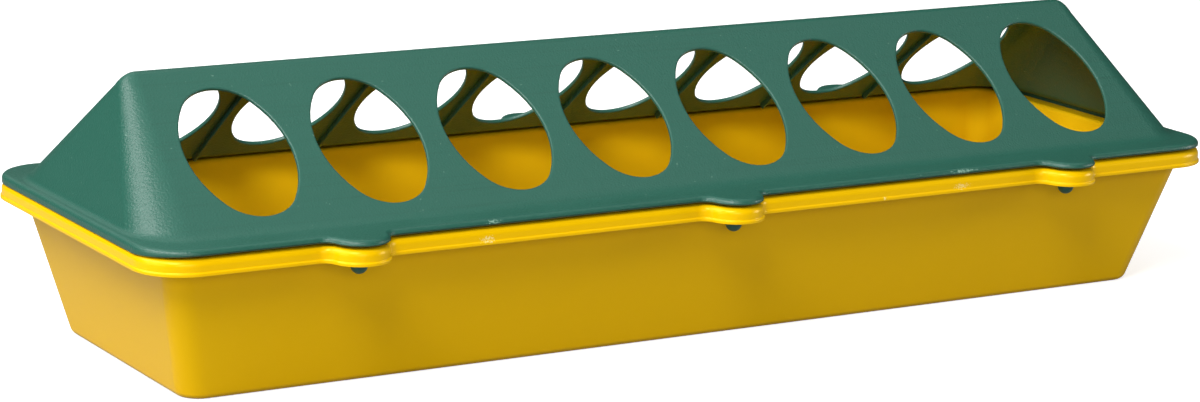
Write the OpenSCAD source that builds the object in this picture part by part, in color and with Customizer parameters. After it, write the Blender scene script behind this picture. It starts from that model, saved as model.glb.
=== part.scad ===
// Trough feeder for chicks: a moulded tray and a lift-off hipped lid with feed holes.
// X runs along the trough, Z is up, and the origin is on the floor under the middle of the tray.

/* [Tray] */
// Length over the rim
rim_len = 500; // [430:1:640]
// Width over the rim, without the lugs
rim_w = 166; // [150:1:230]
// Plan radius of the rim's corners
rim_corner_r = 20; // [12:0.5:26]
// Height of the rim's lower edge above the floor
rim_lift = 54.4; // [35:0.1:80]
// Height of the turned-down rim
rim_h = 6.5; // [5.5:0.1:10]
// Radius along the rim's top edge
rim_edge_r = 2.8; // [1:0.1:3.4]
// Height of the thicker lip along the rim's lower edge
lip_h = 2; // [1:0.1:2.6]
// How far the lip stands out from the rim's face
lip_out = 0.5; // [0.2:0.1:1]
// Wall thickness of the tray
tray_wall = 2; // [1.5:0.1:2.8]
// Reach of the rim past the long walls, at its lower edge
side_overhang = 9; // [7:0.1:13]
// Reach of the rim past the end walls, at its lower edge
end_overhang = 10.3; // [7:0.1:15]
// Lean of the long walls from upright, in degrees
side_draft = 15.8; // [3:0.1:22]
// Lean of the end walls from upright, in degrees
end_draft = 13.8; // [3:0.1:22]
// Plan radius of the tray's upright corners
tray_corner_r = 10; // [6:0.5:14]
// Radius along the tray's lower edge
foot_r = 3.5; // [3:0.1:5]

/* [Lid] */
// Wall thickness of the lid
lid_wall = 1.8; // [1.4:0.1:2.2]
// Gap between the tray's rim and the lid's flange
flange_gap = 0.3; // [0.2:0.1:3]
// Height of the flange's turned-down edge
flange_edge_h = 3.2; // [2.6:0.1:4]
// Thickness of the flange's turned-down edge
flange_edge_w = 2.4; // [2.2:0.1:4]
// How far the flange's edge lies inside the rim's
flange_inset = 0.5; // [0:0.1:2]
// Width of the flange along the long sides
side_flange = 13.6; // [10:0.1:20]
// Width of the flange along the ends
end_flange = 6.2; // [5:0.1:14]
// Slope of the roof's long faces, in degrees
roof_pitch = 37.2; // [32:0.1:48]
// Slope of the roof's end faces, in degrees
end_pitch = 71.6; // [60:0.1:80]
// Radius along the ridge
ridge_r = 4.9; // [3:0.1:8]
// Radius down the hips where they meet the flange
hip_r = 15.7; // [8:0.1:20]
// Width of the ribs inside the roof
rib_w = 1.6; // [1:0.1:3]
// Height of the ribs inside the roof
rib_h = 2; // [1:0.1:4]

/* [Feed holes] */
// Width of a hole along the trough
hole_w = 44.2; // [30:0.1:48]
// Length of a hole up the slope
hole_l = 66.4; // [46:0.1:70]
// Radius of a hole's upper and lower ends
hole_end_r = 17.5; // [14:0.1:20]
// Distance between neighbouring holes
hole_pitch = 55.5; // [50:0.1:75]
// Wall left between the roof's foot and a hole
hole_foot = 7.7; // [3:0.1:9]
// Least distance from a row of holes to the end of the ridge
row_margin = 3; // [1:0.5:20]

/* [Lugs and studs] */
// Distance between neighbouring lugs
lug_pitch = 166.7; // [120:0.1:190]
// Radius of the tray's lugs
lug_r = 12.3; // [9:0.1:15]
// How far the edge of the lid's lugs lies inside that of the tray's
lug_inset = 1; // [0:0.1:2]
// Radius where a lug runs into the rim
lug_fillet_r = 5; // [3:0.1:8]
// Radius of the studs
stud_r = 3.4; // [2:0.1:4]
// Gap all round a stud in its hole
stud_clearance = 0.3; // [0.2:0.05:0.6]
// How far a stud stands out below the rim
stud_drop = 5.4; // [4:0.1:10]
// Width of the seat that holds the lid off the rim, all round a stud
seat_w = 3; // [1.5:0.1:4]

/* [Hidden] */
$fn = 96;
hull_fn = 32;
corner_steps = 8;
lug_steps = 10;
fillet_steps = 3;
edge_steps = 8;
hole_steps = 10;
cut = 1;
joint_overlap = 0.5;

rim_top = rim_lift + rim_h;
flange_z = rim_top + flange_gap;
flange_top = flange_z + flange_edge_h;
plate_z = flange_top - lid_wall;
flange_len = rim_len - 2 * flange_inset;
flange_w = rim_w - 2 * flange_inset;
lid_lug_r = lug_r - lug_inset;
lug_y = rim_w / 2;
bore_r = stud_r + stud_clearance;

// An outline is [length, width, corner radius, lug radius]
rim_outline = [rim_len, rim_w, rim_corner_r, lug_r];
flange_outline = [flange_len, flange_w, rim_corner_r, lid_lug_r];

// Roof: foot lines at the flange's top, then the sharp apex that the ridge radius rounds off
foot_y = flange_w / 2 - side_flange;
foot_x = flange_len / 2 - end_flange;
apex_z = flange_top + foot_y * tan(roof_pitch);
ridge_z = apex_z - ridge_r / cos(roof_pitch);
ridge_x = foot_x - (ridge_z - flange_top) / tan(end_pitch) - ridge_r / sin(end_pitch);
hip_z = flange_top - hip_r * cos(roof_pitch);
hip_y = foot_y - hip_r * sin(roof_pitch);
hip_x = foot_x + (flange_top - hip_z) / tan(end_pitch) - hip_r / sin(end_pitch);

// Feed holes: as many as the ridge has room for
hole_up = hole_foot + hole_l / 2;
hole_count = floor((2 * ridge_x - 2 * row_margin - hole_w) / hole_pitch) + 1;
hole_xs = [for (i = [0 : hole_count - 1]) (i - (hole_count - 1) / 2) * hole_pitch];
web_xs = [for (i = [0 : hole_count - 2]) (i - (hole_count - 2) / 2) * hole_pitch];

// Lugs: the fillet's centre beside a lug, and as many lugs as the straight side has room for
function fillet_rise(o) = lug_fillet_r - (lug_y - o[1] / 2);
function fillet_x(o) = sqrt(pow(o[3] + lug_fillet_r, 2) - pow(fillet_rise(o), 2));
function fillet_angle(o) = asin(fillet_rise(o) / (o[3] + lug_fillet_r));
side_run = rim_len - 2 * rim_corner_r;
lug_count = floor((side_run - 2 * fillet_x(rim_outline)) / lug_pitch) + 1;
lug_xs = [for (i = [0 : lug_count - 1]) (i - (lug_count - 1) / 2) * lug_pitch];

// Outer half sizes of the tray's leaning walls at a height
function wall_x(z) = rim_len / 2 - end_overhang + (z - rim_lift) * tan(end_draft);
function wall_y(z) = rim_w / 2 - side_overhang + (z - rim_lift) * tan(side_draft);
// Setback of a foot radius's centre from a wall that leans by the given angle
function foot_setback(r, draft) = r * (1 - sin(draft)) / cos(draft);

// Repeats its children at both ends of both long sides
module four_corners(x, y) {
    for (sx = [-1, 1], sy = [-1, 1])
        translate([sx * x, sy * y, 0]) children();
}

// Repeats its children at every lug, turned so that +Y points outwards
module at_lugs() {
    for (turn = [0, 180], x = lug_xs)
        rotate(turn) translate([x, lug_y, 0]) children();
}

// Points of an arc in even steps, without the end points where trim is 1
function arc(centre, r, from, to, steps, trim = 0) =
    [for (i = [trim : steps - trim])
        let (a = from + (to - from) * i / steps) centre + r * [cos(a), sin(a)]];

// One lug and its two fillets on the +Y side of an outline drawn in by an inset
function lug_points(o, inset, x) =
    let (reach = fillet_x(o), angle = fillet_angle(o), y = o[1] / 2 + lug_fillet_r, r = lug_fillet_r + inset)
    concat(arc([x + reach, y], r, 270, 180 + angle, fillet_steps),
           arc([x, lug_y], o[3] - inset, angle, 180 - angle, lug_steps, 1),
           arc([x - reach, y], r, 360 - angle, 270, fillet_steps));

// The +Y half of an outline: a corner, the lugs from +X to -X, a corner
function half_outline(o, inset) =
    let (x = o[0] / 2 - o[2], y = o[1] / 2 - o[2], r = o[2] - inset)
    concat(arc([x, y], r, 0, 90, corner_steps),
           [for (i = [lug_count - 1 : -1 : 0]) each lug_points(o, inset, lug_xs[i])],
           arc([-x, y], r, 90, 180, corner_steps));

// Whole outline drawn in by an inset, anticlockwise
function outline(o, inset) =
    let (half = half_outline(o, inset)) concat(half, [for (p = half) -p]);

// Closed section, a list of [inset, z] points, swept round an outline
module sweep(o, section) {
    rings = [for (s = section) [for (p = outline(o, s[0])) [p[0], p[1], s[1]]]];
    n = len(rings[0]);
    m = len(rings);
    polyhedron(
        points = [for (ring = rings) each ring],
        faces = [for (j = [0 : m - 1], i = [0 : n - 1])
            let (next_j = (j + 1) % m, next_i = (i + 1) % n)
            [j * n + i, next_j * n + i, next_j * n + next_i, j * n + next_i]]);
}

// Flat plate that fills an outline drawn in by an inset
module plate(o, inset, z, thickness) {
    translate([0, 0, z]) linear_extrude(thickness) polygon(outline(o, inset));
}

// Section of the rim: lip, face, rounded top edge, and the skirt's inner side
rim_section = concat(
    [[0, rim_lift], [0, rim_lift + lip_h], [lip_out, rim_lift + lip_h]],
    arc([lip_out + rim_edge_r, rim_top - rim_edge_r], rim_edge_r, 180, 90, edge_steps / 2),
    [[lip_out + rim_edge_r, rim_top - tray_wall], [lip_out + tray_wall, rim_top - tray_wall],
     [lip_out + tray_wall, rim_lift]]);

// Section of the flange's edge: half round outside, straight behind
flange_section = concat(
    arc([flange_edge_h / 2, flange_z + flange_edge_h / 2], flange_edge_h / 2, 270, 90, edge_steps),
    [[flange_edge_w, flange_top], [flange_edge_w, flange_z]]);

// Leaning trough with round corners and a rounded foot, drawn in all round by an inset
module trough(inset, top) {
    corner = tray_corner_r - inset;
    foot = foot_r - inset;
    x_in = inset / cos(end_draft);
    y_in = inset / cos(side_draft);
    hull() {
        four_corners(wall_x(inset) - x_in - (corner - foot) - foot_setback(foot, end_draft),
                     wall_y(inset) - y_in - (corner - foot) - foot_setback(foot, side_draft))
            translate([0, 0, inset + foot]) rotate_extrude($fn = hull_fn)
                translate([corner - foot, 0]) intersection() {
                    circle(foot, $fn = hull_fn);
                    translate([0, -foot]) square(foot);
                }
        four_corners(wall_x(top) - x_in - corner, wall_y(top) - y_in - corner)
            translate([0, 0, top - joint_overlap]) cylinder(r = corner, h = joint_overlap, $fn = hull_fn);
    }
}

// Hipped roof drawn in by an inset: round hips that taper to a round ridge
module roof(inset) {
    hull() {
        four_corners(hip_x, hip_y) translate([0, 0, hip_z]) sphere(hip_r - inset, $fn = hull_fn);
        for (sx = [-1, 1])
            translate([sx * ridge_x, 0, ridge_z]) sphere(ridge_r - inset, $fn = hull_fn);
    }
}

// Places its children on both long faces of the roof: x along the trough, y up the slope, z outwards
module on_slopes() {
    for (turn = [0, 180])
        rotate(turn) translate([0, -foot_y, flange_top]) rotate([roof_pitch, 0, 0]) children();
}

// Four-arc oval with its long axis on y
module oval(w, l, end_r) {
    a = w / 2;
    rise = l / 2 - end_r;
    side_r = (a * a + rise * rise - end_r * end_r) / (2 * (a - end_r));
    lean = atan2(rise, side_r - a);
    half = concat(arc([0, rise], end_r, lean, 180 - lean, hole_steps),
                  arc([side_r - a, 0], side_r, 180 - lean, 180 + lean, hole_steps, 1));
    polygon(concat(half, [for (p = half) -p]));
}

// Stud under a lid lug: seat on the tray's lug, shank and round end
module stud() {
    tip_z = rim_lift - stud_drop;
    translate([0, 0, rim_top]) cylinder(r = stud_r + seat_w, h = plate_z - rim_top + joint_overlap);
    translate([0, 0, tip_z + stud_r]) cylinder(r = stud_r, h = rim_top - tip_z - stud_r + joint_overlap);
    translate([0, 0, tip_z + stud_r]) sphere(stud_r);
}

// Rib on the inside of a long face, from the flange's underside to its twin at the ridge
module rib() {
    depth = lid_wall + rib_h;
    buried = lid_wall - joint_overlap;
    low = (depth * cos(roof_pitch) - lid_wall) / sin(roof_pitch);
    high = foot_y / cos(roof_pitch) - buried * tan(roof_pitch);
    translate([-rib_w / 2, low, -depth]) cube([rib_w, high - low, depth - buried]);
}

module tray() {
    color("gold") difference() {
        union() {
            sweep(rim_outline, rim_section);
            plate(rim_outline, lip_out + rim_edge_r, rim_top - tray_wall, tray_wall);
            trough(0, rim_top);
        }
        trough(tray_wall, rim_top + cut);
        at_lugs() translate([0, 0, rim_lift]) cylinder(r = bore_r, h = rim_h + cut);
    }
}

module lid() {
    color("seagreen") {
        difference() {
            union() {
                sweep(flange_outline, flange_section);
                plate(flange_outline, flange_edge_w, plate_z, lid_wall);
                intersection() {
                    roof(0);
                    translate([0, 0, plate_z]) linear_extrude(apex_z) square([rim_len, rim_w], center = true);
                }
            }
            roof(lid_wall);
            on_slopes() for (x = hole_xs)
                translate([x, hole_up, -lid_wall - cut])
                    linear_extrude(lid_wall + 2 * cut) oval(hole_w, hole_l, hole_end_r);
        }
        on_slopes() for (x = web_xs) translate([x, 0, 0]) rib();
        at_lugs() stud();
    }
}

tray();
lid();
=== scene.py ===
"""Trough feeder for chicks: a glossy yellow tray under a satin green lid with two rows of feed holes."""

import math

import bmesh
import bpy
from bpy.props import FloatProperty, FloatVectorProperty, IntProperty, PointerProperty
from mathutils import Matrix, Vector


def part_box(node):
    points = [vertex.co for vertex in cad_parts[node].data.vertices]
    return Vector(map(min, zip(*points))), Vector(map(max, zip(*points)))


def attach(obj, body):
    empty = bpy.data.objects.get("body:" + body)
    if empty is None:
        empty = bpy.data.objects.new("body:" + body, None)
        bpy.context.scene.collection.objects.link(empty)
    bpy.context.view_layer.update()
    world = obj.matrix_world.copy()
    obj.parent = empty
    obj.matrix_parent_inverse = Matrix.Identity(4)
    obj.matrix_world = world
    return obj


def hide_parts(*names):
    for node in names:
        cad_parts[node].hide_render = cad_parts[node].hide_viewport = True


bl_info = {
    "name": "Trough Feeder",
    "version": (1, 0, 0),
    "blender": (4, 5, 0),
    "location": "View3D > Sidebar > Feeder",
    "description": "Models the tray and the lift-off lid of a chick feeder and sets up a plain studio",
    "category": "Object",
}

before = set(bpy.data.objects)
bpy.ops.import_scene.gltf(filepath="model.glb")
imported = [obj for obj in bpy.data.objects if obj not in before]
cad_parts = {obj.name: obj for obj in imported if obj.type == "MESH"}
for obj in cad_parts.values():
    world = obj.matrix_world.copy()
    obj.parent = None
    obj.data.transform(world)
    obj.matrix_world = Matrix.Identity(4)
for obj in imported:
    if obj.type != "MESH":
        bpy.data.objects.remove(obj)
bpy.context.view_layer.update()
TRAY_LOW, TRAY_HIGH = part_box("tray")
LID_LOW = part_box("lid")[0]

MM = 0.001
# Verts nearer than this are merged
MERGE = 0.002 * MM
# Fineness of curves
ARC_STEP = math.radians(6.0)
FILLET_STEPS = 6
RIDGE_STEPS = 6
BORE_STEPS = 48
STUD_STEPS = 32
# Share of a ring's corner that is traced as an arc before it is let out to a quarter ellipse
CORNER_START = 0.8
# Least share of the roof's half width that stays straight at its ends
LEAST_STRAIGHT = 0.05
# Faces that lean from a slope by less than this belong to it
SLOPE_TOLERANCE = math.radians(1.0)
# Edges sharper than this are softened
SHARP = math.radians(50.0)
EDGE_SEGMENTS = 3
SOFT_EDGE = 0.25 * MM
# Weight at which a corner's normal follows its largest face alone
LARGEST_FACE = 100

LUG_RADIUS_MM = 12.3
PLASTIC_IOR = 1.49
WHITE = (1.0, 1.0, 1.0, 1.0)
SENSOR_WIDTH_MM = 36.0
NEAREST_SEEN = 50 * MM
FLOOR_HALF_WIDTH = 6.0

# Rub marks as middle and half size in millimetres: where the edges meet other feeders in a stack
TRAY_RUBS = (
    ((-111.5, -83.0, 56.6), (3.4, 1.2, 1.3)),
    ((112.8, -83.0, 57.0), (3.8, 1.2, 1.1)),
    ((73.5, -83.0, 55.5), (0.8, 1.2, 0.8)),
)
LID_RUBS = (
    ((-109.0, -82.5, 63.3), (3.2, 1.4, 0.8)),
    ((113.0, -82.5, 63.3), (6.0, 1.4, 0.8)),
)

# Softboxes as name, watts, width and height in metres, azimuth and elevation in degrees, and distance in metres
SOFTBOXES = (
    ("key softbox", 54.0, 1.15, 0.87, -50.0, 46.0, 2.6),
    ("front softbox", 10.2, 1.2, 0.6, -20.0, 18.0, 2.0),
    ("left softbox", 6.0, 1.2, 0.6, -85.0, 14.0, 1.6),
    ("edge softbox", 20.0, 1.2, 0.9, -103.0, 44.0, 1.7),
    ("right softbox", 10.5, 0.8, 0.6, 66.0, 12.0, 2.0),
    ("far softbox", 1.8, 1.0, 0.8, 80.0, 55.0, 1.8),
    ("top softbox", 3.7, 1.8, 1.2, 0.0, 87.0, 1.6),
    ("back softbox", 3.0, 1.6, 0.8, 187.0, 33.0, 2.2),
    ("hair softbox", 3.3, 1.4, 0.8, 175.0, 60.0, 1.8),
)


def linear(code):
    """Linear RGBA of an sRGB hex colour."""
    parts = (int(code[i:i + 2], 16) / 255.0 for i in (1, 3, 5))
    return (*(c / 12.92 if c <= 0.04045 else ((c + 0.055) / 1.055) ** 2.4 for c in parts), 1.0)


def length_mm(name, description, mm):
    """Length setting with a default in millimetres."""
    return FloatProperty(name=name, description=description, default=mm * MM, min=0.0, precision=5, unit="LENGTH")


def angle_deg(name, description, degrees):
    """Angle setting with a default in degrees."""
    return FloatProperty(name=name, description=description, default=math.radians(degrees), subtype="ANGLE")


def colour_hex(name, description, code):
    """Colour setting with an sRGB hex default."""
    return FloatVectorProperty(
        name=name, description=description, default=linear(code), size=4, min=0.0, max=1.0, subtype="COLOR")


class PlanSizes(bpy.types.PropertyGroup):
    """Plan that the tray's rim and the lid's flange share"""

    length: FloatProperty(
        name="Rim length", description="Length over the rim", default=TRAY_HIGH.x - TRAY_LOW.x, unit="LENGTH")
    width: FloatProperty(
        name="Rim width", description="Width over the rim, without the lugs",
        default=TRAY_HIGH.y - TRAY_LOW.y - 2 * LUG_RADIUS_MM * MM, unit="LENGTH")
    corner_radius: length_mm("Corner radius", "Plan radius of the rim's corners", 20.0)
    lug_radius: length_mm("Lug radius", "Radius of the tray's lugs", LUG_RADIUS_MM)
    lug_fillet: length_mm("Lug fillet", "Radius where a lug runs into the rim", 5.0)
    lug_pitch: length_mm("Lug pitch", "Distance between neighbouring lugs", 166.7)


class TraySizes(bpy.types.PropertyGroup):
    """Sizes of the tray"""

    rim_top: FloatProperty(
        name="Rim top", description="Height of the rim's top face", default=TRAY_HIGH.z, unit="LENGTH")
    rim_height: length_mm("Rim height", "Height of the turned-down rim", 6.5)
    rim_round: length_mm("Rim round", "Radius along the rim's top edge", 2.8)
    lip_height: length_mm("Lip height", "Height of the thicker lip along the rim's lower edge", 1.6)
    lip_out: length_mm("Lip reach", "How far the lip stands out from the rim's face", 0.5)
    lip_shoulder: length_mm("Lip shoulder", "Height over which the lip runs back to the rim's face", 0.4)
    wall: length_mm("Wall", "Wall thickness of the tray", 2.0)
    side_overhang: length_mm("Side overhang", "Reach of the rim past the long walls", 9.0)
    end_overhang: length_mm("End overhang", "Reach of the rim past the end walls", 10.3)
    side_lean: angle_deg("Side lean", "Lean of the long walls from upright", 15.8)
    end_lean: angle_deg("End lean", "Lean of the end walls from upright", 13.8)
    corner_radius: length_mm("Corner radius", "Radius inside the tray's upright corners", 8.0)
    mouth_round: length_mm("Mouth round", "Radius where the walls turn out into the rim", 2.2)
    foot_round: length_mm("Foot round", "Radius where the walls meet the floor inside", 1.5)
    bore_radius: length_mm("Bore radius", "Radius of the holes for the lid's studs", 3.7)


class LidSizes(bpy.types.PropertyGroup):
    """Sizes of the lid"""

    wall: length_mm("Wall", "Wall thickness of the lid", 1.8)
    lap: length_mm("Lap", "How far the flange's edge hangs below the rim's top, over the rim's rounding", 0.4)
    stand_off: length_mm("Stand-off", "How far the flange's front edge is bowed up off its place", 1.4)
    edge_height: length_mm("Edge height", "Height of the flange's turned-down edge", 3.9)
    edge_round: length_mm("Edge round", "Radius along the flange's top edge", 2.0)
    inset: length_mm("Inset", "How far the flange's edge lies inside the rim's", 0.5)
    lug_inset: length_mm("Lug inset", "How far the edge of the lid's lugs lies inside that of the tray's", 0.6)
    side_flange: length_mm("Side flange", "Width of the flange along the long sides", 13.6)
    end_flange: length_mm("End flange", "Width of the flange along the ends", 4.2)
    pitch: angle_deg("Pitch", "Slope of the roof's long faces", 37.2)
    end_pitch: angle_deg("End pitch", "Slope of the roof's end faces", 69.6)
    ridge_radius: length_mm("Ridge radius", "Radius along the ridge", 4.9)
    end_round: length_mm("End round", "Radius where the ridge turns down into the end faces", 8.5)
    hip_radius: length_mm("Hip radius", "Radius down the hips where they meet the flange", 24.0)
    side_foot: length_mm("Side foot", "Radius where the long faces run out into the flange", 12.0)
    end_foot: length_mm("End foot", "Radius where the end faces run out into the flange", 3.0)
    hole_count: IntProperty(name="Holes", description="Feed holes on each side", default=8, min=1)
    hole_pitch: length_mm("Hole pitch", "Distance between neighbouring holes", 55.5)
    hole_width: length_mm("Hole width", "Width of a hole along the trough", 44.2)
    hole_length: length_mm("Hole length", "Length of a hole up the slope", 64.6)
    hole_round: length_mm("Hole round", "Radius of a hole's upper and lower ends", 17.5)
    hole_foot: length_mm("Hole foot", "Wall left between the roof's foot and a hole", 8.7)
    hole_land: length_mm("Hole land", "Even band of faces kept round a hole", 1.0)
    soft_edge: length_mm("Soft edge", "Rounding of the edges of holes and flange", 0.65)


class FittingSizes(bpy.types.PropertyGroup):
    """Sizes of the ribs and studs under the lid"""

    rib_width: length_mm("Rib width", "Width of the ribs inside the roof", 1.6)
    rib_height: length_mm("Rib height", "Height of the ribs inside the roof", 2.0)
    rib_taper: FloatProperty(
        name="Rib taper", description="Share of a rib's width left at its free edge", default=0.8, subtype="FACTOR")
    stud_radius: length_mm("Stud radius", "Radius of the studs", 3.4)
    seat_radius: length_mm("Seat radius", "Radius of the seat that holds the lid off the rim", 6.4)
    sunk: length_mm("Sunk", "How far ribs and studs reach into the wall that carries them", 0.5)


class Finishes(bpy.types.PropertyGroup):
    """Colours of the mouldings and of their marks"""

    tray: colour_hex("Tray", "Yellow of the tray", "#E9B800")
    tray_gloss: colour_hex("Tray gloss", "Warm tint of the tray's reflections", "#FFE27A")
    tray_rubbed: colour_hex("Tray rubbed", "Pale yellow where the rim is rubbed", "#F3E3A0")
    lid: colour_hex("Lid", "Green of the lid", "#215648")
    lid_dragged: colour_hex("Lid dragged", "Darker green of the drag marks", "#1F5143")
    lid_rubbed: colour_hex("Lid rubbed", "Pale green where the flange is rubbed", "#8FB5A3")
    floor: colour_hex("Floor", "Pale floor of the studio, as the camera sees it", "#D6D6D4")
    floor_bounce: colour_hex("Floor bounce", "Tone of the light that the floor throws back", "#959492")


class Studio(bpy.types.PropertyGroup):
    """Camera and lights"""

    lens: FloatProperty(
        name="Lens", description="Focal length on a sensor 36 mm wide", default=105.4365, unit="CAMERA")
    azimuth: angle_deg("Azimuth", "Turn of the camera about the upright axis", -31.16)
    elevation: angle_deg("Elevation", "Height of the camera above the horizon", 12.74)
    roll: angle_deg("Roll", "Tilt of the camera about its own axis", 1.53)
    distance: length_mm("Distance", "Distance of the camera from its target", 1461.97)
    target: FloatVectorProperty(
        name="Target", description="Point that the camera looks at",
        default=(-12.12 * MM, 0.0, 45.2 * MM), unit="LENGTH")
    light: FloatProperty(name="Light", description="Brightness of all softboxes together", default=1.0, min=0.0)
    floor_glow: FloatProperty(
        name="Floor glow", description="Light added to the floor as the camera sees it", default=0.7, min=0.0)
    sky: FloatProperty(name="Sky", description="Strength of the white surroundings", default=0.03, min=0.0)


class FeederSettings(bpy.types.PropertyGroup):
    """All settings of the feeder"""

    plan: PointerProperty(name="Plan", description="Plan of rim and flange", type=PlanSizes)
    tray: PointerProperty(name="Tray", description="Sizes of the tray", type=TraySizes)
    lid: PointerProperty(name="Lid", description="Sizes of the lid", type=LidSizes)
    fittings: PointerProperty(name="Fittings", description="Sizes of ribs and studs", type=FittingSizes)
    finishes: PointerProperty(name="Finishes", description="Colours", type=Finishes)
    studio: PointerProperty(name="Studio", description="Camera and lights", type=Studio)


def verts_of(edges):
    return list({vert for edge in edges for vert in edge.verts})


def trace(bm, start, *moves):
    """Path of new edges in the XY plane.

    A move of two numbers is a line to that point, and one of three an arc about that centre by that angle.
    """
    old = set(bm.edges)
    vert = bmesh.ops.create_vert(bm, co=(*start, 0.0))["vert"][0]
    for x, y, *turn in moves:
        if turn:
            steps = math.ceil(abs(turn[0]) / ARC_STEP)
            arc = bmesh.ops.spin(bm, geom=[vert], cent=(x, y, 0.0), axis=(0, 0, 1), angle=turn[0], steps=steps)
            vert = next(item for item in arc["geom_last"] if isinstance(item, bmesh.types.BMVert))
        else:
            end = bmesh.ops.extrude_vert_indiv(bm, verts=[vert])["verts"][0]
            bmesh.ops.translate(bm, verts=[end], vec=Vector((x, y, 0.0)) - end.co)
            vert = end
    return [edge for edge in bm.edges if edge not in old]


def mirrored_loop(bm, z, start, *moves):
    """Level loop from a traced quarter that runs from the Y axis round to the X axis."""
    old = set(bm.edges)
    trace(bm, start, *moves)
    for axis in "XY":
        part = [edge for edge in bm.edges if edge not in old]
        bmesh.ops.mirror(bm, geom=part + verts_of(part), axis=axis, merge_dist=MERGE)
    loop = [edge for edge in bm.edges if edge not in old]
    bmesh.ops.translate(bm, verts=verts_of(loop), vec=(0.0, 0.0, z))
    return loop


def lugged_loop(bm, plan, inset, lug_inset, z):
    """Outline of the rim or the flange: straight sides, round corners and three lugs on each long side."""
    half_x = plan.length / 2 - inset
    half_y = plan.width / 2 - inset
    lug_y = plan.width / 2
    lug = plan.lug_radius - lug_inset
    fillet = plan.lug_fillet
    corner = plan.corner_radius
    span = lug + fillet
    rise = fillet - inset
    reach = math.sqrt(span ** 2 - rise ** 2)
    bend = math.pi / 2 - math.asin(rise / span)
    fillet_y = half_y + fillet
    outer_lug = plan.lug_pitch
    return mirrored_loop(
        bm, z, (0.0, lug_y + lug),
        (0.0, lug_y, -bend),
        (reach, fillet_y, bend),
        (outer_lug - reach, half_y),
        (outer_lug - reach, fillet_y, bend),
        (outer_lug, lug_y, -2 * bend),
        (outer_lug + reach, fillet_y, bend),
        (half_x - corner, half_y),
        (half_x - corner, half_y - corner, -math.pi / 2),
        (half_x, 0.0))


def round_ring(bm, half_x, half_y, corner_x, corner_y, z):
    """Level rectangle whose corners are quarter ellipses, always with the same number of edges."""
    arc = CORNER_START * min(corner_x, corner_y)
    loop = mirrored_loop(
        bm, z, (0.0, half_y),
        (half_x - arc, half_y),
        (half_x - arc, half_y - arc, -math.pi / 2),
        (half_x, 0.0))
    verts = verts_of(loop)
    for sx, sy in ((1, 1), (-1, 1), (-1, -1), (1, -1)):
        corner = [v for v in verts
                  if v.co.x * sx > half_x - arc - MERGE and v.co.y * sy > half_y - arc - MERGE]
        bmesh.ops.scale(
            bm, verts=corner, vec=(corner_x / arc, corner_y / arc, 1.0),
            space=Matrix.Translation((-sx * half_x, -sy * half_y, 0.0)))
    return loop


def raise_edge(bm, loop, *steps):
    """Carries a loop up and inwards in steps of inset and rise, and returns the last loop, left open."""
    cap = bmesh.ops.edgeloop_fill(bm, edges=loop)["faces"][0]
    cap.normal_update()
    if cap.normal.z < 0:
        bmesh.ops.reverse_faces(bm, faces=[cap])
    for inset, rise in steps:
        bmesh.ops.inset_region(
            bm, faces=[cap], thickness=inset, depth=rise, use_even_offset=True, use_boundary=True)
    top = list(cap.edges)
    bmesh.ops.delete(bm, geom=[cap], context="FACES_ONLY")
    return top


def quarter_round(radius):
    """Steps of inset and rise round a top edge."""
    turns = [math.pi / 2 * i / FILLET_STEPS for i in range(FILLET_STEPS + 1)]
    return [(radius * (math.cos(a) - math.cos(b)), radius * (math.sin(b) - math.sin(a)))
            for a, b in zip(turns, turns[1:])]


def fillet_reach(radius, lean, rise):
    """How far a fillet stands off a wall's straight line, at a height above the flat that the wall meets."""
    if rise >= radius * (1 - math.sin(lean)):
        return 0.0
    flat = radius * (1 - math.sin(lean)) / math.cos(lean)
    return flat - math.sqrt(radius ** 2 - (radius - rise) ** 2) + rise * math.tan(lean)


def fillet_rises(radius, lean):
    """Heights above the flat at which a fillet is cut into rings."""
    sweep = math.pi / 2 - lean
    return [radius * (1 - math.cos(sweep * i / FILLET_STEPS)) for i in range(FILLET_STEPS + 1)]


def lug_places(plan):
    """Plan places of the lugs' middles."""
    return [(x, y) for y in (-plan.width / 2, plan.width / 2) for x in (-plan.lug_pitch, 0.0, plan.lug_pitch)]


def bridge(bm, rings):
    for lower, upper in zip(rings, rings[1:]):
        bmesh.ops.bridge_loops(bm, edges=lower + upper)


def face_up(bm, level_face):
    """Turns the whole surface so that the given level face looks up."""
    bmesh.ops.recalc_face_normals(bm, faces=bm.faces)
    level_face.normal_update()
    if level_face.normal.z < 0:
        bmesh.ops.reverse_faces(bm, faces=bm.faces)


def add_piece(name, bm, body, material, wall=0.0, soft_edge=SOFT_EDGE):
    """Piece that rides on a body, with a wall behind its faces and softened edges."""
    mesh = bpy.data.meshes.new(name)
    bm.to_mesh(mesh)
    bm.free()
    mesh.shade_smooth()
    mesh.materials.append(material)
    piece = bpy.data.objects.new(name, mesh)
    bpy.context.scene.collection.objects.link(piece)
    if wall:
        shell = piece.modifiers.new("Wall", "SOLIDIFY")
        shell.thickness = wall
        shell.offset = -1.0
        shell.use_even_offset = True
        shell.use_quality_normals = True
    soft = piece.modifiers.new("Soft edges", "BEVEL")
    soft.width = soft_edge
    soft.segments = EDGE_SEGMENTS
    soft.limit_method = "ANGLE"
    soft.angle_limit = SHARP
    soft.use_clamp_overlap = False
    flat = piece.modifiers.new("Flat faces", "WEIGHTED_NORMAL")
    flat.weight = LARGEST_FACE
    flat.keep_sharp = True
    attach(piece, body)
    return piece


def add_node(tree, kind, inputs=None, **settings):
    """Adds a node, sets it up, and sets or links its inputs by name or place."""
    node = tree.nodes.new(kind)
    for name, value in settings.items():
        setattr(node, name, value)
    for key, value in (inputs or {}).items():
        if isinstance(value, bpy.types.NodeSocket):
            tree.links.new(value, node.inputs[key])
        else:
            node.inputs[key].default_value = value
    return node


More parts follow.
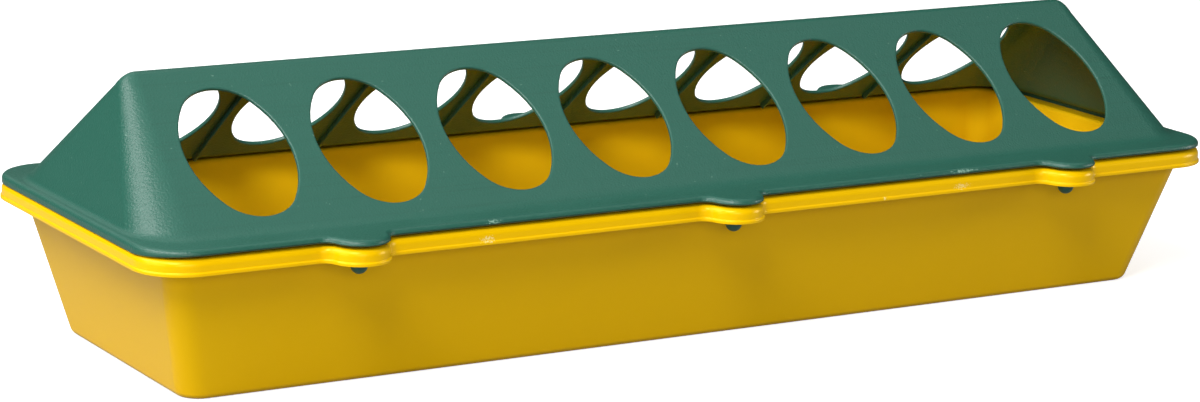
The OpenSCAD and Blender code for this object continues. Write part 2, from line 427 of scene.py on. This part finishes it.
def rub_mask(tree, coords, rubs):
    """Share of worn surface: speckled rub marks that thin out from their middles, and 0 elsewhere."""
    # Speckle 0.7 mm wide, lowered with the distance from a mark's middle and then cut off
    grit = add_node(tree, "ShaderNodeTexNoise", {"Vector": coords, "Scale": 1 / (0.7 * MM), "Detail": 4.0})
    thinning = -0.22
    mask = None
    for middle, half in rubs:
        place = add_node(
            tree, "ShaderNodeMapping",
            {"Vector": coords, "Location": Vector(middle) * MM, "Scale": Vector(half) * MM}, vector_type="TEXTURE")
        away = add_node(tree, "ShaderNodeVectorMath", {0: place.outputs["Vector"]}, operation="LENGTH")
        worn = add_node(
            tree, "ShaderNodeMath", {0: away.outputs["Value"], 1: thinning, 2: grit.outputs["Fac"]},
            operation="MULTIPLY_ADD")
        spot = add_node(
            tree, "ShaderNodeMapRange",
            {"Value": worn.outputs["Value"], "From Min": 0.30, "From Max": 0.46, "To Min": 0.0, "To Max": 0.75})
        if mask is None:
            mask = spot.outputs["Result"]
        else:
            both = add_node(tree, "ShaderNodeMath", {0: mask, 1: spot.outputs["Result"]}, operation="MAXIMUM")
            mask = both.outputs["Value"]
    return mask


def inside_mask(tree, coords, plan, tray):
    """1 on the inside of the trough and 0 on its outside and on the rim, parted halfway through the wall."""
    away = add_node(tree, "ShaderNodeVectorMath", {0: coords}, operation="ABSOLUTE").outputs["Vector"]
    height = add_node(tree, "ShaderNodeSeparateXYZ", {"Vector": coords}).outputs["Z"]
    slants = Vector((math.tan(tray.end_lean), math.tan(tray.side_lean), 0.0))
    overhangs = Vector((tray.end_overhang, tray.side_overhang, 0.0))
    halfway = tray.corner_radius + tray.wall / 2
    low = Vector((plan.length / 2, plan.width / 2, 0.0)) - overhangs - slants * (tray.rim_top - tray.rim_height)
    low -= Vector((1.0, 1.0, 0.0)) * (tray.corner_radius + tray.wall)
    lean = add_node(tree, "ShaderNodeVectorMath", {0: slants, "Scale": height}, operation="SCALE").outputs["Vector"]
    middles = add_node(tree, "ShaderNodeVectorMath", {0: lean, 1: low}, operation="ADD").outputs["Vector"]
    beyond = add_node(tree, "ShaderNodeVectorMath", {0: away, 1: middles}, operation="SUBTRACT").outputs["Vector"]
    level = add_node(
        tree, "ShaderNodeVectorMath", {0: beyond, 1: (1.0, 1.0, 0.0)}, operation="MULTIPLY").outputs["Vector"]
    reach = add_node(tree, "ShaderNodeVectorMath", {0: level, 1: (0.0, 0.0, 0.0)}, operation="MAXIMUM")
    far = add_node(tree, "ShaderNodeVectorMath", {0: reach.outputs["Vector"]}, operation="LENGTH").outputs["Value"]
    within = add_node(tree, "ShaderNodeMath", {0: far, 1: halfway}, operation="LESS_THAN").outputs["Value"]
    above = add_node(tree, "ShaderNodeMath", {0: height, 1: tray.wall / 2}, operation="GREATER_THAN").outputs["Value"]
    return add_node(tree, "ShaderNodeMath", {0: within, 1: above}, operation="MULTIPLY").outputs["Value"]


def glossy_yellow(settings):
    """Polypropylene from a polished cavity: clean gloss outside, matt from the core inside, rubbed pale at the rim."""
    finishes = settings.finishes
    material = bpy.data.materials.new("glossy moulded polypropylene, yellow")
    material.use_nodes = True
    tree = material.node_tree
    shader = tree.nodes["Principled BSDF"]
    shader.inputs["IOR"].default_value = PLASTIC_IOR
    shader.inputs["Specular Tint"].default_value = finishes.tray_gloss
    coords = add_node(tree, "ShaderNodeTexCoord").outputs["Object"]
    rubbed = rub_mask(tree, coords, TRAY_RUBS)
    tint = add_node(
        tree, "ShaderNodeMix", {"Factor": rubbed, 6: finishes.tray, 7: finishes.tray_rubbed}, data_type="RGBA")
    tree.links.new(tint.outputs[2], shader.inputs["Base Color"])
    polished, matt, scuffed = 0.25, 0.85, 0.6
    inside = inside_mask(tree, coords, settings.plan, settings.tray)
    core = add_node(tree, "ShaderNodeMix", {"Factor": inside, 2: polished, 3: matt})
    dull = add_node(tree, "ShaderNodeMix", {"Factor": rubbed, 2: core.outputs[0], 3: scuffed})
    tree.links.new(dull.outputs[0], shader.inputs["Roughness"])
    # Shrinkage ripple of the mould face, about 30 mm from crest to crest
    ripple = add_node(tree, "ShaderNodeTexNoise", {"Vector": coords, "Scale": 1 / (30 * MM), "Detail": 0.0})
    bump = add_node(
        tree, "ShaderNodeBump", {"Height": ripple.outputs["Fac"], "Strength": 0.2, "Distance": 0.1 * MM})
    tree.links.new(bump.outputs["Normal"], shader.inputs["Normal"])
    return material


def satin_green(finishes):
    """Polypropylene from an etched mould: a soft broad sheen with fine grain, and edges rubbed pale."""
    material = bpy.data.materials.new("satin moulded polypropylene, green")
    material.use_nodes = True
    tree = material.node_tree
    shader = tree.nodes["Principled BSDF"]
    shader.inputs["IOR"].default_value = PLASTIC_IOR
    coords = add_node(tree, "ShaderNodeTexCoord").outputs["Object"]
    rubbed = rub_mask(tree, coords, LID_RUBS)
    # Drag marks from stacking run along the trough, about 60 mm long and 0.9 mm wide
    along = add_node(
        tree, "ShaderNodeMapping",
        {"Vector": coords, "Scale": (1 / (60 * MM), 1 / (0.9 * MM), 1 / (0.9 * MM))})
    drags = add_node(tree, "ShaderNodeTexNoise", {"Vector": along.outputs["Vector"], "Scale": 1.0, "Detail": 2.0})
    shade = add_node(
        tree, "ShaderNodeMapRange",
        {"Value": drags.outputs["Fac"], "From Min": 0.55, "From Max": 0.75, "To Min": 0.0, "To Max": 1.0})
    ground = add_node(
        tree, "ShaderNodeMix", {"Factor": shade.outputs["Result"], 6: finishes.lid, 7: finishes.lid_dragged},
        data_type="RGBA")
    # Nicks of half a millimetre lie some centimetres apart
    dots = add_node(tree, "ShaderNodeTexNoise", {"Vector": coords, "Scale": 1 / (1.6 * MM), "Detail": 1.0})
    nicks = add_node(
        tree, "ShaderNodeMapRange",
        {"Value": dots.outputs["Fac"], "From Min": 0.77, "From Max": 0.80, "To Min": 0.0, "To Max": 0.3})
    worn = add_node(tree, "ShaderNodeMath", {0: rubbed, 1: nicks.outputs["Result"]}, operation="MAXIMUM")
    tint = add_node(
        tree, "ShaderNodeMix", {"Factor": worn.outputs["Value"], 6: ground.outputs[2], 7: finishes.lid_rubbed},
        data_type="RGBA")
    tree.links.new(tint.outputs[2], shader.inputs["Base Color"])
    # Etched grain, drawn 0.9 mm wide so that it shows
    grain = add_node(tree, "ShaderNodeTexNoise", {"Vector": coords, "Scale": 1 / (0.9 * MM), "Detail": 2.0})
    satin = add_node(
        tree, "ShaderNodeMapRange",
        {"Value": grain.outputs["Fac"], "From Min": 0.3, "From Max": 0.7, "To Min": 0.34, "To Max": 0.42})
    tree.links.new(satin.outputs["Result"], shader.inputs["Roughness"])
    bump = add_node(
        tree, "ShaderNodeBump", {"Height": grain.outputs["Fac"], "Strength": 1.0, "Distance": 0.2 * MM})
    tree.links.new(bump.outputs["Normal"], shader.inputs["Normal"])
    return material


def trough_ring(bm, plan, tray, z):
    """Loop round the inside of the tray at a height, from the rounded mouth to the rounded foot."""
    rim_low = tray.rim_top - tray.rim_height
    halves = []
    for rim, overhang, lean in ((plan.length / 2, tray.end_overhang, tray.end_lean),
                                (plan.width / 2, tray.side_overhang, tray.side_lean)):
        straight = rim - overhang + (z - rim_low) * math.tan(lean) - tray.wall / math.cos(lean)
        rounding = (fillet_reach(tray.mouth_round, lean, tray.rim_top - z)
                    - fillet_reach(tray.foot_round, lean, z - tray.wall))
        halves.append(straight + rounding)
    corner = tray.corner_radius + rounding
    return round_ring(bm, *halves, corner, corner, z)


class FEEDER_OT_tray(bpy.types.Operator):
    """Model the tray: trough, flat rim with lugs, turned-down edge and stud holes"""

    bl_idname = "feeder.tray"
    bl_label = "Tray"

    def execute(self, context):
        settings = context.scene.feeder
        plan, tray = settings.plan, settings.tray
        bm = bmesh.new()
        foot = lugged_loop(bm, plan, 0.0, 0.0, tray.rim_top - tray.rim_height)
        rim = raise_edge(
            bm, foot,
            (0.0, tray.lip_height - tray.lip_shoulder),
            (tray.lip_out, tray.lip_shoulder),
            (0.0, tray.rim_height - tray.lip_height - tray.rim_round),
            *quarter_round(tray.rim_round))
        heights = [tray.rim_top - drop for drop in fillet_rises(tray.mouth_round, tray.end_lean)]
        heights += [tray.wall + rise for rise in reversed(fillet_rises(tray.foot_round, tray.end_lean))]
        rings = [trough_ring(bm, plan, tray, z) for z in heights]
        bridge(bm, rings)
        floor = bmesh.ops.edgeloop_fill(bm, edges=rings[-1])["faces"][0]
        bores = []
        for x, y in lug_places(plan):
            circle = bmesh.ops.create_circle(
                bm, segments=BORE_STEPS, radius=tray.bore_radius, matrix=Matrix.Translation((x, y, tray.rim_top)))
            bores += {edge for vert in circle["verts"] for edge in vert.link_edges}
        bmesh.ops.triangle_fill(bm, edges=rim + bores + rings[0], use_beauty=True, normal=(0, 0, 1))
        face_up(bm, floor)
        piece = add_piece(
            "tray_shell", bm, "tray", glossy_yellow(settings), wall=tray.wall)
        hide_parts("tray")
        return {"FINISHED"}


class Roof:
    """Heights and half sizes of the lid's hipped roof, worked out from its settings."""

    def __init__(self, settings):
        plan, lid = settings.plan, settings.lid
        self.lid = lid
        self.base = settings.tray.rim_top - lid.lap + lid.edge_height
        self.foot_x = plan.length / 2 - lid.inset - lid.end_flange
        self.foot_y = plan.width / 2 - lid.inset - lid.side_flange
        self.ridge_z = self.base + self.foot_y * math.tan(lid.pitch) - lid.ridge_radius / math.cos(lid.pitch)
        self.end_z = self.ridge_z + lid.ridge_radius - lid.end_round
        self.end_x = (self.foot_x - (self.end_z - self.base) / math.tan(lid.end_pitch)
                      - lid.end_round / math.sin(lid.end_pitch))
        hip_drop = lid.hip_radius * math.cos(lid.pitch)
        self.hip_y = self.foot_y - lid.hip_radius * math.sin(lid.pitch)
        self.hip_x = (self.foot_x + hip_drop / math.tan(lid.end_pitch)
                      - lid.hip_radius / math.sin(lid.end_pitch))
        self.side_top = self.ridge_z + lid.ridge_radius * math.cos(lid.pitch)
        self.end_top = self.end_z + lid.end_round * math.cos(lid.end_pitch)
        self.end_low = self.base - hip_drop + lid.hip_radius * math.cos(lid.end_pitch)

    def ring(self, bm, z):
        """Loop round the roof at a height: flat faces between round hips, then the round ridge."""
        lid, rise = self.lid, z - self.base
        half_x = self.end_x + math.sqrt(max(lid.end_round ** 2 - (z - self.end_z) ** 2, 0.0))
        half_y = math.sqrt(max(lid.ridge_radius ** 2 - (z - self.ridge_z) ** 2, 0.0))
        if z < self.end_top:
            half_x = (self.foot_x - rise / math.tan(lid.end_pitch)
                      + fillet_reach(lid.end_foot, math.pi / 2 - lid.end_pitch, rise))
        if z < self.side_top:
            half_y = (self.foot_y - rise / math.tan(lid.pitch)
                      + fillet_reach(lid.side_foot, math.pi / 2 - lid.pitch, rise))
        up_side = min(rise / (self.side_top - self.base), 1.0)
        up_end = min((z - self.end_low) / (self.end_top - self.end_low), 1.0)
        flat_x = self.hip_x + (self.end_x - self.hip_x) * up_side
        flat_y = max(self.hip_y * (1.0 - up_end), LEAST_STRAIGHT * half_y)
        return round_ring(bm, half_x, half_y, half_x - flat_x, half_y - flat_y, z)

    def heights(self):
        """Heights of the rings, close together where the roof curves."""
        lid = self.lid
        low = fillet_rises(lid.side_foot, math.pi / 2 - lid.pitch)
        low += fillet_rises(lid.end_foot, math.pi / 2 - lid.end_pitch)
        shares = [1.0 - i / RIDGE_STEPS for i in range(RIDGE_STEPS)]
        high = [self.end_z + lid.end_round * math.cos(lid.end_pitch * share) for share in shares]
        high += [self.ridge_z + lid.ridge_radius * math.cos(lid.pitch * share) for share in shares]
        return sorted({round(self.base + rise, 6) for rise in low} | {round(z, 6) for z in high})

    def slopes(self):
        """Placements on the front and back faces: x along the trough, y up the slope, z outwards."""
        face = Matrix.Translation((0.0, -self.foot_y, self.base)) @ Matrix.Rotation(self.lid.pitch, 4, "X")
        return face, Matrix.Rotation(math.pi, 4, "Z") @ face

    def hole_xs(self):
        count = self.lid.hole_count
        return [(i - (count - 1) / 2) * self.lid.hole_pitch for i in range(count)]

    def web_xs(self):
        xs = self.hole_xs()
        return [(a + b) / 2 for a, b in zip(xs, xs[1:])]


def oval_loop(bm, lid, grow, placement):
    """Edge of a feed hole, a four-arc oval with its long axis up the slope, let out by some width."""
    half_w = lid.hole_width / 2
    end = lid.hole_round
    rise = lid.hole_length / 2 - end
    side = (half_w ** 2 + rise ** 2 - end ** 2) / (2 * (half_w - end))
    lean = math.atan2(rise, side - half_w)
    loop = mirrored_loop(
        bm, 0.0, (0.0, rise + end + grow),
        (0.0, rise, lean - math.pi / 2),
        (half_w - side, 0.0, -lean))
    bmesh.ops.transform(bm, matrix=placement, verts=verts_of(loop))
    return loop


def open_slope(bm, roof, slope):
    """Replaces one long face of the roof by a face with feed holes."""
    lid = roof.lid
    outwards = slope.to_3x3() @ Vector((0, 0, 1))
    flat = [face for face in bm.faces if face.normal.dot(outwards) > math.cos(SLOPE_TOLERANCE)]
    border = {}
    for face in flat:
        for edge in face.edges:
            border[edge] = border.get(edge, 0) + 1
    inner = [edge for edge, uses in border.items() if uses == 2]
    frame_edges = [edge for edge, uses in border.items() if uses == 1]
    bmesh.ops.delete(bm, geom=flat, context="FACES_ONLY")
    bmesh.ops.delete(bm, geom=inner, context="EDGES")
    lands = []
    for x in roof.hole_xs():
        place = slope @ Matrix.Translation((x, lid.hole_foot + lid.hole_length / 2, 0.0))
        hole = oval_loop(bm, lid, 0.0, place)
        land = oval_loop(bm, lid, lid.hole_land, place)
        bmesh.ops.bridge_loops(bm, edges=hole + land)
        lands += land
    bmesh.ops.triangle_fill(bm, edges=frame_edges + lands, use_beauty=True, normal=outwards)


class FEEDER_OT_lid(bpy.types.Operator):
    """Model the lid: flange with lugs and a hipped roof with two rows of oval feed holes"""

    bl_idname = "feeder.lid"
    bl_label = "Lid"

    def bow(self, bm, plan, lid):
        """Lifts the flange's front lower edge off the rim, fading out round the corners."""
        low = min(vert.co.z for vert in bm.verts) + MERGE
        start = plan.width / 2 - lid.inset - plan.corner_radius
        for vert in [v for v in bm.verts if v.co.z < low and -v.co.y > start]:
            share = min((-vert.co.y - start) / plan.corner_radius, 1.0)
            bmesh.ops.translate(bm, verts=[vert], vec=(0.0, 0.0, lid.stand_off * share))

    def execute(self, context):
        settings = context.scene.feeder
        plan, lid = settings.plan, settings.lid
        roof = Roof(settings)
        bm = bmesh.new()
        foot = lugged_loop(bm, plan, lid.inset, lid.lug_inset, roof.base - lid.edge_height)
        flange = raise_edge(
            bm, foot, (0.0, lid.edge_height - lid.edge_round), *quarter_round(lid.edge_round))
        self.bow(bm, plan, lid)
        rings = [roof.ring(bm, z) for z in roof.heights()]
        bridge(bm, rings)
        ridge = bmesh.ops.edgeloop_fill(bm, edges=rings[-1])["faces"][0]
        bmesh.ops.triangle_fill(bm, edges=flange + rings[0], use_beauty=True, normal=(0, 0, 1))
        face_up(bm, ridge)
        for slope in roof.slopes():
            open_slope(bm, roof, slope)
        face_up(bm, ridge)
        piece = add_piece(
            "lid_shell", bm, "lid", satin_green(settings.finishes), wall=lid.wall,
            soft_edge=lid.soft_edge)
        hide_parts("lid")
        return {"FINISHED"}


class FEEDER_OT_ribs(bpy.types.Operator):
    """Model the stiffening ribs inside the roof, one pair between each two feed holes"""

    bl_idname = "feeder.ribs"
    bl_label = "Ribs"

    def execute(self, context):
        settings = context.scene.feeder
        lid, fittings = settings.lid, settings.fittings
        roof = Roof(settings)
        bm = bmesh.new()
        depth = lid.wall + fittings.rib_height
        buried = lid.wall - fittings.sunk
        low = (depth * math.cos(lid.pitch) - lid.wall) / math.sin(lid.pitch)
        high = roof.foot_y / math.cos(lid.pitch) - buried * math.tan(lid.pitch)
        for slope in roof.slopes():
            for x in roof.web_xs():
                place = slope @ Matrix.Translation((x, (low + high) / 2, -(depth + buried) / 2))
                size = Matrix.Diagonal((fittings.rib_width, high - low, depth - buried, 1.0))
                bar = bmesh.ops.create_cube(bm, size=1.0, matrix=place @ size)["verts"]
                free = [v for v in bar if (place.inverted() @ v.co).z < 0]
                bmesh.ops.scale(bm, verts=free, vec=(fittings.rib_taper, 1.0, 1.0), space=place.inverted())
        add_piece("lid_ribs", bm, "lid", bpy.data.objects["lid_shell"].active_material)
        return {"FINISHED"}


class FEEDER_OT_studs(bpy.types.Operator):
    """Model the round studs under the lid's lugs that locate it in the tray"""

    bl_idname = "feeder.studs"
    bl_label = "Studs"

    def execute(self, context):
        settings = context.scene.feeder
        plan, tray, lid, fittings = settings.plan, settings.tray, settings.lid, settings.fittings
        root = Roof(settings).base - lid.wall + fittings.sunk
        radius = fittings.stud_radius
        bm = bmesh.new()
        for x, y in lug_places(plan):
            profile = trace(
                bm, (fittings.seat_radius, root),
                (fittings.seat_radius, tray.rim_top),
                (radius, tray.rim_top),
                (radius, LID_LOW.z + radius),
                (0.0, LID_LOW.z + radius, -math.pi / 2))
            upright = Matrix.Translation((x, y, 0.0)) @ Matrix.Rotation(math.pi / 2, 4, "X")
            bmesh.ops.transform(bm, matrix=upright, verts=verts_of(profile))
            bmesh.ops.spin(
                bm, geom=profile + verts_of(profile), cent=(x, y, 0.0), axis=(0, 0, 1),
                angle=2 * math.pi, steps=STUD_STEPS, use_merge=True)
        bmesh.ops.remove_doubles(bm, verts=bm.verts, dist=MERGE)
        bmesh.ops.recalc_face_normals(bm, faces=bm.faces)
        add_piece("lid_studs", bm, "lid", bpy.data.objects["lid_shell"].active_material)
        return {"FINISHED"}


def orbit(target, azimuth, elevation, distance, roll=0.0):
    """Placement that looks at a target from a distance."""
    turn = (Matrix.Rotation(azimuth, 4, "Z") @ Matrix.Rotation(math.pi / 2 - elevation, 4, "X")
            @ Matrix.Rotation(roll, 4, "Z"))
    return Matrix.Translation(target) @ turn @ Matrix.Translation((0.0, 0.0, distance))


def matt_board(finishes, studio):
    """Board painted matt white: an even pale ground without gloss, lit up for the camera alone."""
    material = bpy.data.materials.new("matt painted board, white")
    material.use_nodes = True
    tree = material.node_tree
    shader = tree.nodes["Principled BSDF"]
    shader.inputs["Roughness"].default_value = 0.9
    shader.inputs["Specular IOR Level"].default_value = 0.1
    shader.inputs["Emission Color"].default_value = WHITE
    seen = add_node(tree, "ShaderNodeLightPath").outputs["Is Camera Ray"]
    tone = add_node(
        tree, "ShaderNodeMix", {"Factor": seen, 6: finishes.floor_bounce, 7: finishes.floor}, data_type="RGBA")
    tree.links.new(tone.outputs[2], shader.inputs["Base Color"])
    glow = add_node(tree, "ShaderNodeMath", {0: seen, 1: studio.floor_glow}, operation="MULTIPLY")
    tree.links.new(glow.outputs["Value"], shader.inputs["Emission Strength"])
    return material


class FEEDER_OT_stage(bpy.types.Operator):
    """Set up the pale floor, the soft lights and the camera"""

    bl_idname = "feeder.stage"
    bl_label = "Stage"

    def add_floor(self, scene):
        bm = bmesh.new()
        bmesh.ops.create_grid(bm, x_segments=1, y_segments=1, size=FLOOR_HALF_WIDTH)
        mesh = bpy.data.meshes.new("floor")
        bm.to_mesh(mesh)
        bm.free()
        mesh.materials.append(matt_board(scene.feeder.finishes, scene.feeder.studio))
        floor = bpy.data.objects.new("floor", mesh)
        scene.collection.objects.link(floor)

    def add_sky(self, scene):
        world = bpy.data.worlds.new("white surroundings")
        world.use_nodes = True
        sky = world.node_tree.nodes["Background"]
        sky.inputs["Color"].default_value = WHITE
        sky.inputs["Strength"].default_value = scene.feeder.studio.sky
        scene.world = world

    def add_softboxes(self, scene):
        studio = scene.feeder.studio
        for name, power, width, height, azimuth, elevation, distance in SOFTBOXES:
            light = bpy.data.lights.new(name, "AREA")
            light.shape = "RECTANGLE"
            light.size = width
            light.size_y = height
            light.energy = power * studio.light
            lamp = bpy.data.objects.new(name, light)
            lamp.visible_camera = False
            lamp.matrix_world = orbit(studio.target, math.radians(azimuth), math.radians(elevation), distance)
            scene.collection.objects.link(lamp)

    def add_camera(self, scene):
        studio = scene.feeder.studio
        view = bpy.data.cameras.new("camera")
        view.sensor_fit = "HORIZONTAL"
        view.sensor_width = SENSOR_WIDTH_MM
        view.lens = studio.lens
        view.clip_start = NEAREST_SEEN
        camera = bpy.data.objects.new("camera", view)
        camera.matrix_world = orbit(
            studio.target, studio.azimuth, studio.elevation, studio.distance, studio.roll)
        scene.collection.objects.link(camera)
        scene.camera = camera

    def execute(self, context):
        scene = context.scene
        self.add_floor(scene)
        self.add_sky(scene)
        self.add_softboxes(scene)
        self.add_camera(scene)
        scene.view_settings.view_transform = "Standard"
        return {"FINISHED"}


class FEEDER_PT_panel(bpy.types.Panel):
    """Sizes, colours and build steps of the feeder"""

    bl_idname = "FEEDER_PT_panel"
    bl_label = "Trough Feeder"
    bl_space_type = "VIEW_3D"
    bl_region_type = "UI"
    bl_category = "Feeder"

    def draw(self, context):
        settings = context.scene.feeder
        for group in (settings.plan, settings.tray, settings.lid, settings.fittings,
                      settings.finishes, settings.studio):
            box = self.layout.box()
            for name in group.__annotations__:
                box.prop(group, name)
        for operator in OPERATORS:
            self.layout.operator(operator.bl_idname)


GROUPS = (PlanSizes, TraySizes, LidSizes, FittingSizes, Finishes, Studio, FeederSettings)
OPERATORS = (FEEDER_OT_tray, FEEDER_OT_lid, FEEDER_OT_ribs, FEEDER_OT_studs, FEEDER_OT_stage)
CLASSES = (*GROUPS, *OPERATORS, FEEDER_PT_panel)


def register():
    for cls in CLASSES:
        bpy.utils.register_class(cls)
    bpy.types.Scene.feeder = PointerProperty(
        name="Feeder", description="Settings of the trough feeder", type=FeederSettings)


def unregister():
    del bpy.types.Scene.feeder
    for cls in reversed(CLASSES):
        bpy.utils.unregister_class(cls)


def main():
    register()
    bpy.ops.feeder.tray()
    bpy.ops.feeder.lid()
    bpy.ops.feeder.ribs()
    bpy.ops.feeder.studs()
    bpy.ops.feeder.stage()
    bpy.context.view_layer.update()


if __name__ == "__main__":
    main()
